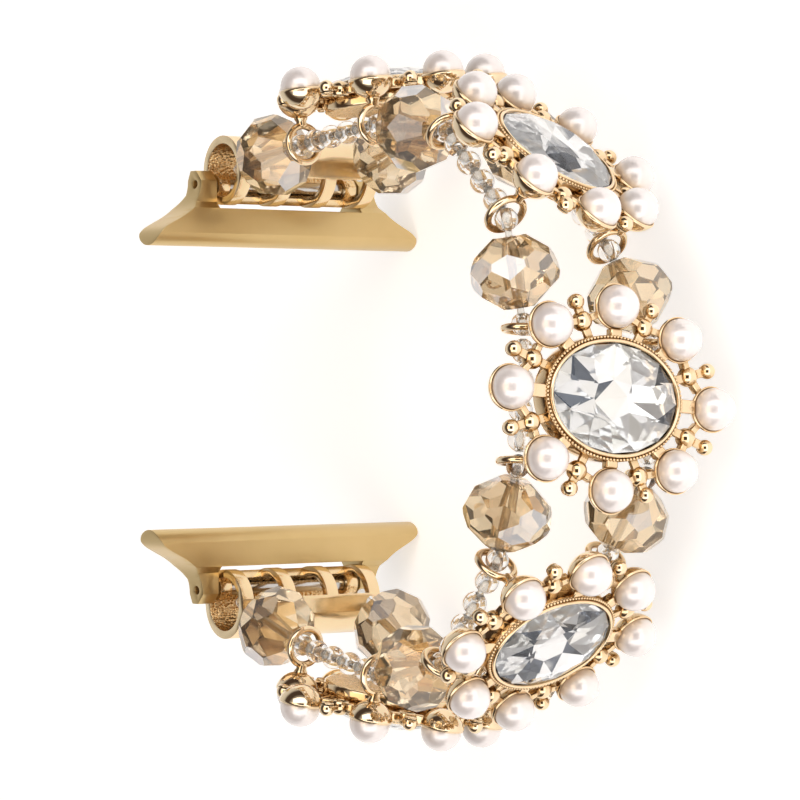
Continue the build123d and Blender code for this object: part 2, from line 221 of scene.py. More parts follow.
class Value:
    """One socket of a material's nodes, with arithmetic on it."""

    def __init__(self, paint, socket):
        self.paint = paint
        self.socket = socket

    def calculate(self, operation, first, second):
        inputs = {0: first, 1: second}
        return self.paint.node("ShaderNodeMath", {"operation": operation}, inputs)

    def __add__(self, other):
        return self.calculate("ADD", self, other)

    def __sub__(self, other):
        return self.calculate("SUBTRACT", self, other)

    def __mul__(self, other):
        return self.calculate("MULTIPLY", self, other)


class Paint:
    """One material, or the world, while its nodes are put together."""

    def __init__(self, name, world=None, **sockets):
        self.material = world or bpy.data.materials.new(name)
        self.material.use_nodes = True
        self.nodes = self.material.node_tree.nodes
        self.links = self.material.node_tree.links
        self.shader = self.nodes["Background" if world else "Principled BSDF"]
        for socket, value in sockets.items():
            title = socket.replace("_", " ").title().replace("Ior", "IOR")
            self.set(self.shader, title, value)

    def set(self, node, key, value):
        if isinstance(value, Value):
            self.links.new(value.socket, node.inputs[key])
            return
        colour = isinstance(value, tuple) and len(value) == 3
        if colour and len(node.inputs[key].default_value) == 4:
            value = (*value, 1.0)
        node.inputs[key].default_value = value

    def node(self, kind, settings=None, inputs=None, output=0):
        made = self.nodes.new(kind)
        for name, value in (settings or {}).items():
            if name == "stops":
                self.ramp(made.color_ramp, value)
            else:
                setattr(made, name, value)
        for key, value in (inputs or {}).items():
            self.set(made, key, value)
        return Value(self, made.outputs[output])

    def ramp(self, ramp, stops):
        while len(ramp.elements) < len(stops):
            ramp.elements.new(1.0)
        for element, (place, colour) in zip(ramp.elements, stops):
            element.position = place
            element.color = (*colour, 1.0)

    def place(self):
        return self.node("ShaderNodeTexCoord", output=3)

    def noise(self, scale, detail=3.0):
        inputs = {"Vector": self.place(), "Scale": scale, "Detail": detail}
        return self.node("ShaderNodeTexNoise", inputs=inputs)

    def cells(self, scale):
        return self.node("ShaderNodeTexVoronoi", inputs={"Vector": self.place(), "Scale": scale})

    def tint(self, amount, first, second):
        settings = {"data_type": "RGBA"}
        inputs = {0: amount, 6: (*first, 1.0), 7: (*second, 1.0)}
        return self.node("ShaderNodeMix", settings, inputs, output=2)

    def shades(self, amount, stops):
        return self.node("ShaderNodeValToRGB", {"stops": stops}, {"Fac": amount})

    def base(self, colour):
        self.set(self.shader, "Base Color", colour)

    def rough(self, amount):
        self.set(self.shader, "Roughness", amount)

    def relief(self, height, strength, distance):
        inputs = {"Height": height, "Strength": strength, "Distance": distance}
        self.set(self.shader, "Normal", self.node("ShaderNodeBump", inputs=inputs))

    def painted_shade_openness(self, reach):
        """How free a spot lies from the forms round it, from 0 in a corner to 1, for painted shade.
        """
        return self.node("ShaderNodeAmbientOcclusion", {"samples": 8}, {"Distance": reach}, output=1)

    def facet(self):
        """The plain shade that a mesh holds for each of its facets, from 0 to 1."""
        return self.node("ShaderNodeAttribute", {"attribute_name": "facet"}, output=2)


def polished_gold():
    paint = Paint("polished_gold", metallic=1.0)
    cloud = paint.noise(420)
    # Painted shade: the colour runs from dark brown in corners and between parts to bright gold
    # where a spot lies free, with a little random noise.
    tones = (
        (0.0, (0.24, 0.14, 0.06)), (0.40, (0.46, 0.30, 0.15)), (0.70, (0.76, 0.56, 0.33)),
        (1.0, (0.90, 0.72, 0.49)),
    )
    paint.base(paint.shades(paint.painted_shade_openness(0.0026) + cloud * 0.16 - 0.08, tones))
    paint.rough(cloud * 0.10 + 0.03)
    paint.relief(paint.noise(700), 0.22, 0.00008)
    return paint.material


def cast_gold():
    paint = Paint("cast_gold", metallic=1.0)
    grain = paint.cells(2600)
    paint.base(paint.tint(grain, (0.66, 0.42, 0.18), (0.90, 0.67, 0.38)))
    paint.rough(grain * 0.15 + 0.20)
    paint.relief(grain, 0.60, 0.00020)
    return paint.material


def satin_gold():
    paint = Paint("satin_gold", metallic=1.0)
    cloud = paint.noise(160)
    paint.base(paint.tint(cloud, (0.60, 0.43, 0.19), (0.72, 0.54, 0.27)))
    paint.rough(cloud * 0.16 + 0.26)
    paint.relief(paint.noise(2600), 0.12, 0.00004)
    return paint.material


def connector_gold():
    paint = Paint("connector_gold", metallic=1.0)
    cloud = paint.noise(260)
    paint.base(paint.tint(cloud, (0.82, 0.62, 0.36), (0.92, 0.74, 0.48)))
    paint.rough(cloud * 0.14 + 0.14)
    paint.relief(paint.noise(1400), 0.12, 0.00005)
    return paint.material


def pearl_lustre():
    paint = Paint("pearl_lustre", metallic=0.28, roughness=0.26)
    paint.set(paint.shader, "Coat Weight", 0.6)
    paint.set(paint.shader, "Coat Roughness", 0.14)
    cloud = paint.noise(260, 2.0)
    # Painted shade and a painted warm reflection of the gold cup: the colour turns cream to tan near
    # the cup, with a little random noise, and stays pale where the pearl lies free.
    tones = (
        (0.0, (0.78, 0.54, 0.34)), (0.44, (0.85, 0.69, 0.54)), (0.76, (0.87, 0.79, 0.72)),
        (1.0, (0.88, 0.82, 0.81)),
    )
    paint.base(paint.shades(paint.painted_shade_openness(0.0030) + cloud * 0.2 - 0.1, tones))
    paint.relief(paint.noise(1500), 0.05, 0.00003)
    return paint.material


def crystal_glass():
    paint = Paint("crystal_glass", roughness=0.0, ior=1.55)
    paint.set(paint.shader, "Transmission Weight", 1.0)
    paint.base(paint.tint(paint.noise(60), (0.97, 0.98, 1.0), (1.0, 1.0, 1.0)))
    return paint.material


def crystal_foil():
    paint = Paint("crystal_foil", metallic=0.60)
    # Painted reflection: the facets with the lowest shades are painted near black, as if they
    # mirrored a dark room; the others are pale grey to white.
    tones = (
        (0.0, (0.04, 0.05, 0.07)), (0.16, (0.12, 0.14, 0.18)), (0.19, (0.80, 0.80, 0.78)),
        (0.30, (0.97, 0.95, 0.90)), (0.44, (1.0, 1.0, 1.0)),
    )
    cloud = paint.noise(350)
    paint.base(paint.shades(paint.facet() + cloud * 0.12 - 0.06, tones))
    paint.rough(cloud * 0.08 + 0.02)
    return paint.material


def champagne_glass():
    """Tinted glass with a silvery coating that is stronger on some facets."""
    paint = Paint("champagne_glass", roughness=0.01, ior=1.55)
    paint.set(paint.shader, "Transmission Weight", 0.92)
    tones = (
        (0.0, (0.97, 0.87, 0.69)), (0.40, (0.93, 0.77, 0.52)), (0.75, (0.86, 0.62, 0.37)),
        (1.0, (0.72, 0.44, 0.22)),
    )
    paint.base(paint.shades(paint.facet() * 0.7 + paint.noise(300) * 0.3, tones))
    coating = (
        (0.0, (0.66, 0.42, 0.26)), (0.35, (0.84, 0.66, 0.45)), (0.72, (0.90, 0.82, 0.74)),
        (0.84, (0.55, 0.58, 0.63)), (0.93, (0.90, 0.93, 0.98)),
    )
    colour = paint.shades(paint.facet(), coating)
    gloss = {"Base Color": colour, "Metallic": 1.0, "Roughness": 0.05}
    silver = paint.node("ShaderNodeBsdfPrincipled", inputs=gloss)
    clear = Value(paint, paint.shader.outputs[0])
    amounts = (
        (0.0, (0.07, 0.07, 0.07)), (0.78, (0.20, 0.20, 0.20)), (0.88, (0.52, 0.52, 0.52)),
    )
    share = paint.shades(paint.facet(), amounts)
    mixed = paint.node("ShaderNodeMixShader", inputs={0: share, 1: clear, 2: silver})
    paint.set(paint.nodes["Material Output"], "Surface", mixed)
    return paint.material


def seed_glass():
    paint = Paint("seed_glass", roughness=0.01, ior=1.5)
    paint.set(paint.shader, "Transmission Weight", 1.0)
    paint.base(paint.tint(paint.noise(300), (0.95, 0.93, 0.90), (1.0, 0.99, 0.98)))
    return paint.material


def clear_cord():
    paint = Paint("clear_cord", roughness=0.12, ior=1.45)
    paint.set(paint.shader, "Transmission Weight", 0.85)
    paint.base(paint.tint(paint.noise(500), (0.88, 0.87, 0.84), (0.97, 0.97, 0.95)))
    return paint.material


def bright_steel():
    paint = Paint("bright_steel", metallic=1.0)
    cloud = paint.noise(500)
    paint.base(paint.tint(cloud, (0.52, 0.51, 0.50), (0.68, 0.67, 0.66)))
    paint.rough(cloud * 0.12 + 0.14)
    return paint.material


GOLD = polished_gold()
CAST = cast_gold()
SATIN = satin_gold()
CONNECTOR = connector_gold()
PEARL = pearl_lustre()
CRYSTAL = crystal_glass()
FOIL = crystal_foil()
CHAMPAGNE = champagne_glass()
SEED = seed_glass()
CORD = clear_cord()
STEEL = bright_steel()


class Shape:
    """A mesh gathered from closed forms, each in its own place."""

    def __init__(self):
        self.points = []
        self.faces = []
        self.slots = []
        self.smooth = []

    def add(self, form, place=Matrix(), slot=0, smooth=True):
        points, faces = form
        first = len(self.points)
        self.points += [place @ Vector(point) for point in points]
        self.faces += [[first + n for n in face] for face in faces]
        self.slots += [slot] * len(faces)
        self.smooth += [smooth] * len(faces)

    def piece(self, node, place, materials, body, slot, facets=None):
        """The shape as the piece for a CAD node, with a plain shade for each facet if given."""
        mesh = bpy.data.meshes.new(node + "_dressed")
        mesh.from_pydata([place @ point for point in self.points], [], self.faces)
        mesh.polygons.foreach_set("material_index", self.slots)
        mesh.polygons.foreach_set("use_smooth", self.smooth)
        if facets is not None:
            shades = mesh.attributes.new("facet", "FLOAT", "FACE")
            shades.data.foreach_set("value", facets)
        mesh.update()
        return put_up(mesh, materials, node, body)


def arc(centre, radius, start, end, steps):
    """Points on an arc of a profile, as (radius, height)."""
    found = []
    for n in range(steps + 1):
        turn = math.radians(start + (end - start) * n / steps)
        found.append((centre[0] + radius * math.cos(turn), centre[1] + radius * math.sin(turn)))
    return found


def turned(profile, sides):
    """A form turned about Z. A step is (reach along X, reach along Y, height), 0 at a pole."""
    points, rows = [], []
    for a, b, height in profile:
        if a < SAME_SPOT:
            rows.append([len(points)] * sides)
            points.append((0, 0, height))
            continue
        rows.append([len(points) + n for n in range(sides)])
        for n in range(sides):
            turn = math.tau * n / sides
            points.append((a * math.cos(turn), b * math.sin(turn), height))
    faces = []
    for low, high in zip(rows, rows[1:]):
        for n in range(sides):
            m = (n + 1) % sides
            faces.append(list(dict.fromkeys([low[n], low[m], high[m], high[n]])))
    return points, faces


def lathe(profile, sides):
    """A round turned form. A step is (radius, height)."""
    return turned([(radius, radius, height) for radius, height in profile], sides)


def oval_lathe(profile, sides):
    """Turned round the stone's oval. A step is (share of the oval, offset, height)."""
    a, b = STONE_HALF
    steps = [(a * share + offset, b * share + offset, height) for share, offset, height in profile]
    return turned(steps, sides)


def ring(profile, sides):
    """A round form turned from a closed profile that stays off the axis."""
    points, faces = lathe([*profile, profile[0]], sides)
    last = sides * len(profile)
    faces = [[n % last for n in face] for face in faces]
    return points[:last], faces


def ball(radius, sides, rows):
    return lathe(arc((0, 0), radius, -90, 90, rows), sides)


def block(low, high, edge):
    """A box between two corners, with rounded edges."""
    shape = bmesh.new()
    bmesh.ops.create_cube(shape, size=1.0)
    for vert in shape.verts:
        vert.co = Vector([lo + (v + 0.5) * (hi - lo) for v, lo, hi in zip(vert.co, low, high)])
    bmesh.ops.bevel(
        shape, geom=shape.edges[:], offset=edge, segments=2, profile=0.5, affect="EDGES"
    )
    return taken(shape)


def taken(shape):
    """The points and faces of a form, which is freed."""
    shape.verts.index_update()
    points = [vert.co.copy() for vert in shape.verts]
    faces = [[vert.index for vert in face.verts] for face in shape.faces]
    shape.free()
    return points, faces


def oval_reach(direction, offset):
    """How far the oval with an offset reaches in a direction."""
    a, b = STONE_HALF[0] + offset, STONE_HALF[1] + offset
    return a * b / math.hypot(b * direction.x, a * direction.y)


def aimed(direction):
    """A turn about Z that takes X to a level direction."""
    return Matrix.Rotation(math.atan2(direction.y, direction.x), 4, "Z")


def pearl_places():
    return [Vector((a * PEARL_REACH[0], b * PEARL_REACH[1], 0)) for a, b in PEARL_PLACES]


def stud_form(radius):
    """A ball on a short waisted post."""
    centre = STUD_TOP - radius
    post = radius * POST_SHARE
    neck = centre - radius * POST_TOP
    profile = [(0, STUD_FOOT), (post * POST_FOOT, STUD_FOOT)]
    profile += [(post, STUD_FOOT + POST_EDGE), (post, neck)]
    profile += arc((0, centre), radius, -STUD_WAIST, 90, 14)
    return lathe(profile, STUD_SIDES)


def cup_form():
    """A thin bowl with a rounded rim."""
    rim = (CUP_OUTER - CUP_INNER) / 2
    height = CUP_RIM - rim
    outer_turn = math.degrees(math.asin(height / CUP_OUTER))
    inner_turn = math.degrees(math.asin(height / CUP_INNER))
    outer = arc((0, 0), CUP_OUTER, -90, outer_turn, 14)
    inner = arc((0, 0), CUP_INNER, inner_turn, -90, 12)
    lip = arc(((outer[-1][0] + inner[0][0]) / 2, height), rim, 0, 180, 6)
    profile = [(0, -CUP_OUTER)] + outer[1:] + lip + inner[:-1] + [(0, -CUP_INNER)]
    return lathe(profile, CUP_SIDES)


def bezel_form():
    """The oval box that holds the crystal: its back, its wall and its smooth lip."""
    lip = (BEZEL_LIP - FIT) / 2
    middle = (BEZEL_LIP + FIT) / 2
    profile = [(0, 0, BEZEL_BACK), (0.5, 0, BEZEL_BACK)]
    profile += [(1, BEZEL_WALL - offset, BEZEL_BACK + height) for height, offset in BEZEL_CORNER]
    profile.append((1, BEZEL_WALL, BEZEL_LEDGE - BEZEL_CHAMFER[1]))
    profile.append((1, BEZEL_WALL - BEZEL_CHAMFER[0], BEZEL_LEDGE))
    profile.append((1, BEZEL_LIP, BEZEL_LEDGE))
    bend = arc((middle, BEZEL_TOP - lip), lip, 0, 180, 8)
    profile += [(1, offset, height) for offset, height in bend]
    profile += [(1, FIT, STONE_FLOOR), (0.5, 0, STONE_FLOOR), (0, 0, STONE_FLOOR)]
    return oval_lathe(profile, BEZEL_SIDES)


def loop_form():
    """A closed ring of round wire."""
    circle = arc((LOOP_RADIUS, 0), LOOP_WIRE, 0, 360 - 360 / WIRE_SIDES, WIRE_SIDES - 1)
    return ring(circle, LOOP_SIDES)


def add_grains(shape):
    """The row of small grains round the bezel's ledge."""
    rim = BEZEL_WALL - GRAIN_RADIUS * GRAIN_INSET
    a, b = STONE_HALF[0] + rim, STONE_HALF[1] + rim
    count = int(math.pi * (a + b) / GRAIN_PITCH)
    grain = ball(GRAIN_RADIUS, *GRAIN_FINENESS)
    for turn in even_turns(count, a, b):
        spot = (a * math.cos(turn), b * math.sin(turn), BEZEL_LEDGE + GRAIN_RISE)
        shape.add(grain, Matrix.Translation(spot))


def add_studs(shape, first, second):
    """The pair of studs between two pearls, with their web and the ties to both cups."""
    middle = (first + second) / 2
    for share, radius in (INNER_STUD, OUTER_STUD):
        shape.add(stud_form(radius), Matrix.Translation(middle * share))
    for place in (first, second):
        way = middle * INNER_STUD[0] - place
        low = (CUP_INNER, -TIE_SIZE[0] / 2, TIE_TOP - TIE_SIZE[1])
        high = (way.length - INNER_STUD[1] / 2, TIE_SIZE[0] / 2, TIE_TOP)
        shape.add(block(low, high, TIE_EDGE), Matrix.Translation(place) @ aimed(way))
    start = oval_reach(middle.normalized(), BEZEL_WALL) - BEZEL_SINK
    foot = BRIDGE_TOP - BRIDGE_SIZE[1]
    low = (start, -WEB_SIZE[0] / 2, foot)
    high = (middle.length * OUTER_STUD[0], WEB_SIZE[0] / 2, foot + WEB_SIZE[1])
    shape.add(block(low, high, WEB_EDGE), aimed(middle))


def casting_shape():
    """One flower casting: bezel, pearl cups, studs and the four back loops."""
    shape = Shape()
    shape.add(bezel_form())
    for face in range(BEZEL_SIDES * GRANULAR_BANDS):
        shape.slots[face] = 1
    add_grains(shape)
    places = pearl_places()
    cup = cup_form()
    for place in places:
        shape.add(cup, Matrix.Translation(place))
        start = oval_reach(place.normalized(), BEZEL_WALL) - BEZEL_SINK
        low = (start, -BRIDGE_SIZE[0] / 2, BRIDGE_TOP - BRIDGE_SIZE[1])
        high = (place.length - CUP_INNER - BRIDGE_GAP, BRIDGE_SIZE[0] / 2, BRIDGE_TOP)
        shape.add(block(low, high, BRIDGE_EDGE), aimed(place))
    for first, second in zip(places, places[1:] + places[:1]):
        add_studs(shape, first, second)
    loop = loop_form()
    neck = lathe(NECK_STEPS, NECK_SIDES)
    upright = Matrix.Rotation(math.pi / 2, 4, "X")
    for a in (-1, 1):
        for b in (-1, 1):
            x, y = a * LOOP_PLACE[0], b * LOOP_PLACE[1]
            shape.add(loop, Matrix.Translation((x, y, -LOOP_DEPTH)) @ upright)
            shape.add(neck, Matrix.Translation((x, y, 0)))
    return shape


def even_turns(count, a, b):
    """Turns about an oval that lie evenly along its edge."""
    turns = [math.tau * n / OVAL_STEPS for n in range(OVAL_STEPS + 1)]
    spots = [Vector((a * math.cos(turn), b * math.sin(turn))) for turn in turns]
    lengths = [0.0]
    for first, second in zip(spots, spots[1:]):
        lengths.append(lengths[-1] + (second - first).length)
    found, step = [], 0
    for n in range(count):
        target = lengths[-1] * n / count
        while lengths[step + 1] < target:
            step += 1
        part = (target - lengths[step]) / (lengths[step + 1] - lengths[step])
        found.append(math.tau * (step + part) / OVAL_STEPS)
    return found


def crystal_shape():
    """An oval cut crystal: a table, kites and girdle facets over a foiled uneven back."""
    draw = random.Random(CUT_DRAW)
    sides = STONE_SIDES

    def spot(share, turn, height):
        angle = math.pi * turn / sides
        a, b = STONE_HALF[0] * share, STONE_HALF[1] * share
        return Vector((a * math.cos(angle), b * math.sin(angle), height))

    def cut(share, depths, turn):
        """A place on the back, a little off the even one, as a hand cut has it."""
        height = -STONE_DEPTH * draw.uniform(*depths)
        share += draw.uniform(-CUT_SHIFT, CUT_SHIFT)
        return spot(share, turn + draw.uniform(-CUT_TURN, CUT_TURN), height)

    top = [spot(TABLE_SHARE, 2 * n, STONE_CROWN) for n in range(sides)]
    star = [spot(STAR_SHARE, 2 * n + 1, STAR_HEIGHT) for n in range(sides)]
    edge = [spot(GIRDLE_SHARE, n, STONE_GIRDLE) for n in range(2 * sides)]
    base = [spot(GIRDLE_SHARE, n, -STONE_GIRDLE) for n in range(2 * sides)]
    deep = [cut(*OUTER_CUTS, 2 * n + 1) for n in range(sides)]
    inner = [cut(*INNER_CUTS, 2 * n) for n in range(sides)]
    keel = [Vector((x, y, -STONE_DEPTH * depth)) for x, y, depth in KEEL]
    crown, back = [top], []
    for n in range(sides):
        m = (n + 1) % sides
        a, b, c = 2 * n, 2 * n + 1, 2 * m
        crown.append([top[n], star[n], top[m]])
        crown.append([top[n], star[n - 1], edge[a], star[n]])
        crown.append([star[n], edge[a], edge[b]])
        crown.append([star[n], edge[b], edge[c]])
        near = keel[0] if n in KEEL_SIDES else keel[1]
        back.append([near, inner[m], inner[n]])
        back.append([inner[n], inner[m], deep[n]])
        back.append([inner[n], deep[n], base[a]])
        back.append([inner[n], base[a], deep[n - 1]])
        back.append([deep[n], base[b], base[a]])
        back.append([deep[n], base[c], base[b]])
    back.append([keel[1], keel[0], inner[2]])
    back.append([keel[0], keel[1], inner[6]])
    for n in range(2 * sides):
        m = (n + 1) % (2 * sides)
        crown.append([edge[n], base[n], base[m], edge[m]])
    shape = Shape()
    for slot, facets in enumerate((crown, back)):
        for facet in facets:
            shape.add((facet, [list(range(len(facet)))]), slot=slot, smooth=False)
    return shape


def bead_form():
    """A faceted bead with its bore."""
    shape = bmesh.new()
    bmesh.ops.create_cube(shape, size=4 * BEAD_RADIUS)
    cuts = [(UP, BEAD_LENGTH / 2), (-UP, BEAD_LENGTH / 2)]
    for tilt, share, shift in BEAD_CUTS:
        lean = math.radians(tilt)
        for n in range(BEAD_SIDES):
            turn = math.tau * (n + shift) / BEAD_SIDES
            x, y = math.cos(turn) * math.cos(lean), math.sin(turn) * math.cos(lean)
            cuts.append((Vector((x, y, math.sin(lean))), BEAD_RADIUS * share))
    for normal, reach in cuts:
        parts = shape.verts[:] + shape.edges[:] + shape.faces[:]
        cut = bmesh.ops.bisect_plane(
            shape, geom=parts, plane_co=normal * reach, plane_no=normal, clear_outer=True
        )
        edges = [part for part in cut["geom_cut"] if isinstance(part, bmesh.types.BMEdge)]
        if edges:
            bmesh.ops.contextual_create(shape, geom=edges)
    bmesh.ops.remove_doubles(shape, verts=shape.verts, dist=0.01)
    for end in (-1, 1):
        open_bore(shape, end)
    bmesh.ops.bridge_loops(shape, edges=[edge for edge in shape.edges if edge.is_boundary])
    bmesh.ops.recalc_face_normals(shape, faces=shape.faces)
    return taken(shape)


def open_bore(shape, end):
    """Turns a bead's flat end into a ring round the bore's mouth."""
    cap = max(shape.faces, key=lambda face: end * face.normal.z * (abs(face.normal.z) > 0.99))
    rim = cap.edges[:]
    bmesh.ops.delete(shape, geom=[cap], context="FACES_ONLY")
    circle = bmesh.ops.create_circle(shape, segments=BORE_SIDES, radius=BEAD_BORE, cap_ends=False)
    for vert in circle["verts"]:
        vert.co.z = end * BEAD_LENGTH / 2
    mouth = list({edge for vert in circle["verts"] for edge in vert.link_edges})
    bmesh.ops.bridge_loops(shape, edges=rim + mouth)


def seed_form(radius):
    """A small round bead with a bore and soft rims."""
    wide, sunk = SEED_EDGE
    edge = math.degrees(math.asin((SEED_BORE + wide) / radius))
    outer = arc((0, 0), radius, edge - 90, 90 - edge, 14)
    end = outer[-1][1] - sunk
    return ring(outer + [(SEED_BORE, end), (SEED_BORE, -end)], SEED_SIDES)


def coil_form(height):
    """A wound wire about Z from its foot, with flat ends."""
    turns = height / SPRING_PITCH
    steps = round(turns * SPRING_STEPS)
    sides = SPRING_WIRE_SIDES
    points, faces = [], []
    for n in range(steps + 1):
        turn = math.tau * turns * n / steps
        for k in range(sides):
            lean = math.tau * k / sides
            out = SPRING_RADIUS + SPRING_WIRE * math.cos(lean)
            rise = height * n / steps + SPRING_WIRE * math.sin(lean)
            points.append((out * math.cos(turn), out * math.sin(turn), rise))
    for n in range(steps):
        for k in range(sides):
            m = (k + 1) % sides
            faces.append([n * sides + k, (n + 1) * sides + k, (n + 1) * sides + m, n * sides + m])
    faces.append(list(range(sides)))
    faces.append([steps * sides + k for k in reversed(range(sides))])
    return points, faces


def solid_centres(node):
    """The middle of each separate solid of a node, in metres."""
    shape = bmesh.new()
    shape.from_mesh(frame["nodes"][node].data)
    bmesh.ops.remove_doubles(shape, verts=shape.verts, dist=SAME_SPOT)
    left, found = set(shape.verts), []
    while left:
        stack = [left.pop()]
        island = []
        while stack:
            vert = stack.pop()
            island.append(vert.co.copy())
            for edge in vert.link_edges:
                other = edge.other_vert(vert)
                if other in left:
                    left.remove(other)
                    stack.append(other)
        low = Vector([min(co[k] for co in island) for k in range(3)])
        high = Vector([max(co[k] for co in island) for k in range(3)])
        found.append((low + high) / 2)
    shape.free()
    return found


def frame_of(origin, x_axis, z_axis, scale=MM):
    """A place whose local units lie along given axes, X being squared up to Z."""
    y_axis = z_axis.cross(x_axis).normalized()
    x_axis = y_axis.cross(z_axis).normalized()
    turn = Matrix((x_axis, y_axis, z_axis.normalized())).transposed().to_4x4()
    return Matrix.Translation(origin) @ turn @ Matrix.Scale(scale, 4)


def joint_spot(name):
    return Vector(joints[name]["pos_m"])


def upward(name):
    axis = Vector(joints[name]["axis"])
    return axis if axis.z > 0 else -axis


def flower_place(n):
    """A flower's own frame, from the two joints at its back loops."""
    first = f"gap_{n}_swing" if n <= 3 else f"flower_{n}_swing"
    second = f"flower_{n}_swing" if n < 3 else f"gap_{n + 1}_swing"
    along = (joint_spot(second) - joint_spot(first)).normalized()
    crown = upward(first)
    outward = crown.cross(along)
    origin = (joint_spot(first) + joint_spot(second)) / 2 + outward * LOOP_DEPTH * MM
    return frame_of(origin, crown, outward)


def strand_axis(gap, side):
    return Vector(joints[f"bead_{gap}_{side}_spin"]["axis"])


def softened(node, body, materials, width, inside=None):
    """A CAD piece with its sharp edges rounded, and a second finish on inner faces."""
    shape = bmesh.new()
    shape.from_mesh(frame["nodes"][node].data)
    bmesh.ops.remove_doubles(shape, verts=shape.verts, dist=SAME_SPOT)
    bmesh.ops.dissolve_limit(
        shape, angle_limit=math.radians(FLAT_ANGLE), verts=shape.verts, edges=shape.edges,
        delimit={"NORMAL"}
    )
    limit = math.radians(SHARP_ANGLE)
    sharp = [edge for edge in shape.edges if edge.is_manifold and edge.calc_face_angle(0) > limit]
    bmesh.ops.bevel(
        shape, geom=sharp, offset=width * MM, segments=2, profile=0.5, affect="EDGES",
        clamp_overlap=True
    )
    bmesh.ops.recalc_face_normals(shape, faces=shape.faces)
    for face in shape.faces:
        face.smooth = True
        face.material_index = 1 if inside and inside(face) else 0
    for edge in shape.edges:
        edge.smooth = edge.calc_face_angle(0) < math.radians(CREASE_ANGLE)
    mesh = bpy.data.meshes.new(node + "_dressed")
    shape.to_mesh(mesh)
    shape.free()
    put_up(mesh, materials, node, body)


def put_up(mesh, materials, node, body):
    """A finished mesh as the piece that stands in for a CAD node."""
    for material in materials:
        mesh.materials.append(material)
    made = bpy.data.objects.new(mesh.name, mesh)
    bpy.context.collection.objects.link(made)
    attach(made, body)
    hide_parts(node)
    return made


def make_flowers():
    casting = casting_shape()
    crystal = crystal_shape()
    pearl = ball(PEARL_RADIUS, *PEARL_FINENESS)
    seed = seed_form(BACK_SEED_RADIUS)
    draw = random.Random(FACET_DRAW)
    for n in range(1, 6):
        place = flower_place(n)
        body = f"flower_{n}"
        casting.piece(f"flower_casting_{n}", place, [GOLD, CAST], body, "polished_gold")
        # Random facet shades for the foil; the lowest become its painted dark reflections.
        shades = [draw.random() for _ in crystal.faces]
        crystal.piece(f"flower_crystal_{n}", place, [CRYSTAL, FOIL], body, "crystal", shades)
        pearls = Shape()
        for spot in pearl_places():
            pearls.add(pearl, Matrix.Translation(spot))
        pearls.piece(f"flower_pearls_{n}", place, [PEARL], body, "pearl")
        seeds = Shape()
        along = place.to_3x3() @ Vector((0, 1, 0))
        for centre in solid_centres(f"back_seeds_{n}"):
            seeds.add(seed, frame_of(centre, UP, along))
        seeds.piece(f"back_seeds_{n}", Matrix(), [SEED], body, "clear_seed")


def make_gaps():
    form = bead_form()
    seed = seed_form(SEED_RADIUS)
    draw = random.Random(BEAD_DRAW)
    mid_height = (cad_box[0][2] + cad_box[1][2]) / 2
    for gap in range(1, 7):
        seeds = Shape()
        for centre in solid_centres(f"gap_seeds_{gap}"):
            side = "crown" if centre.z > mid_height else "base"
            seeds.add(seed, frame_of(centre, UP, strand_axis(gap, side)))
        seeds.piece(f"gap_seeds_{gap}", Matrix(), [SEED], f"gap_{gap}", "clear_seed")
        for side in ("crown", "base"):
            bead = Shape()
            bead.add(form, smooth=False)
            spot = joint_spot(f"bead_{gap}_{side}_spin")
            place = frame_of(spot, UP, strand_axis(gap, side))
            shades = [draw.random() for _ in bead.faces]
            body = f"bead_{gap}_{side}"
            bead.piece("big_" + body, place, [CHAMPAGNE], body, "champagne_bead", shades)


def make_ends():
    for end in ("upper", "lower"):
        turn = math.radians(CONNECTOR_TURN if end == "upper" else -CONNECTOR_TURN)
        arm = Vector((math.cos(turn), math.sin(turn), 0)) * CONNECTOR_ARM * MM
        middle = joint_spot(f"connector_{end}_swing") - arm

        def inner(face):
            out = face.calc_center_median() - middle
            facing = face.normal.x * out.x + face.normal.y * out.y
            return facing < -0.5 * math.hypot(out.x, out.y)

        softened(
            f"end_connector_{end}", f"connector_{end}", [CONNECTOR, CAST],
            CONNECTOR_EDGE, inner
        )
        softened(f"adapter_{end}", f"adapter_{end}", [SATIN], ADAPTER_EDGE)
        for part, body in (("tube", "adapter"), ("plunger", "plunger")):
            softened(f"spring_bar_{part}_{end}", f"{body}_{end}", [STEEL], BAR_EDGE)
        make_spring(end)


def make_spring(end):
    """The coil spring in a spring bar."""
    node = f"spring_bar_spring_{end}"
    bar = joint_spot(f"adapter_{end}_tilt")
    heights = [vert.co.z for vert in frame["nodes"][node].data.vertices]
    foot = Vector((bar.x, bar.y, min(heights) + SPRING_WIRE * MM))
    height = (max(heights) - min(heights)) / MM - 2 * SPRING_WIRE
    shape = Shape()
    shape.add(coil_form(height))
    place = frame_of(foot, Vector((1, 0, 0)), UP)
    spring = shape.piece(node, place, [STEEL], f"adapter_{end}", "steel")
    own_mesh(spring)


def finish_carried_nodes():
    """The cords keep their own solids, with a finish of their own."""
    for name, node in frame["nodes"].items():
        if "cords" in name:
            node.data.materials.clear()
            node.data.materials.append(CORD)


def view_axes():
    """The camera's back, right and up directions."""
    rise = math.radians(VIEW_ELEVATION)
    level = Vector((math.cos(rise), 0, math.sin(rise)))
    side = Vector((0, 1, 0))
    yaw = math.radians(VIEW_YAW)
    back = level * math.cos(yaw) + side * math.sin(yaw)
    up = side * math.cos(yaw) - level * math.sin(yaw)
    right = Vector((math.sin(rise), 0, -math.cos(rise)))
    roll = math.radians(VIEW_ROLL)
    rolled_right = right * math.cos(roll) + up * math.sin(roll)
    rolled_up = up * math.cos(roll) - right * math.sin(roll)
    return back, rolled_right, rolled_up


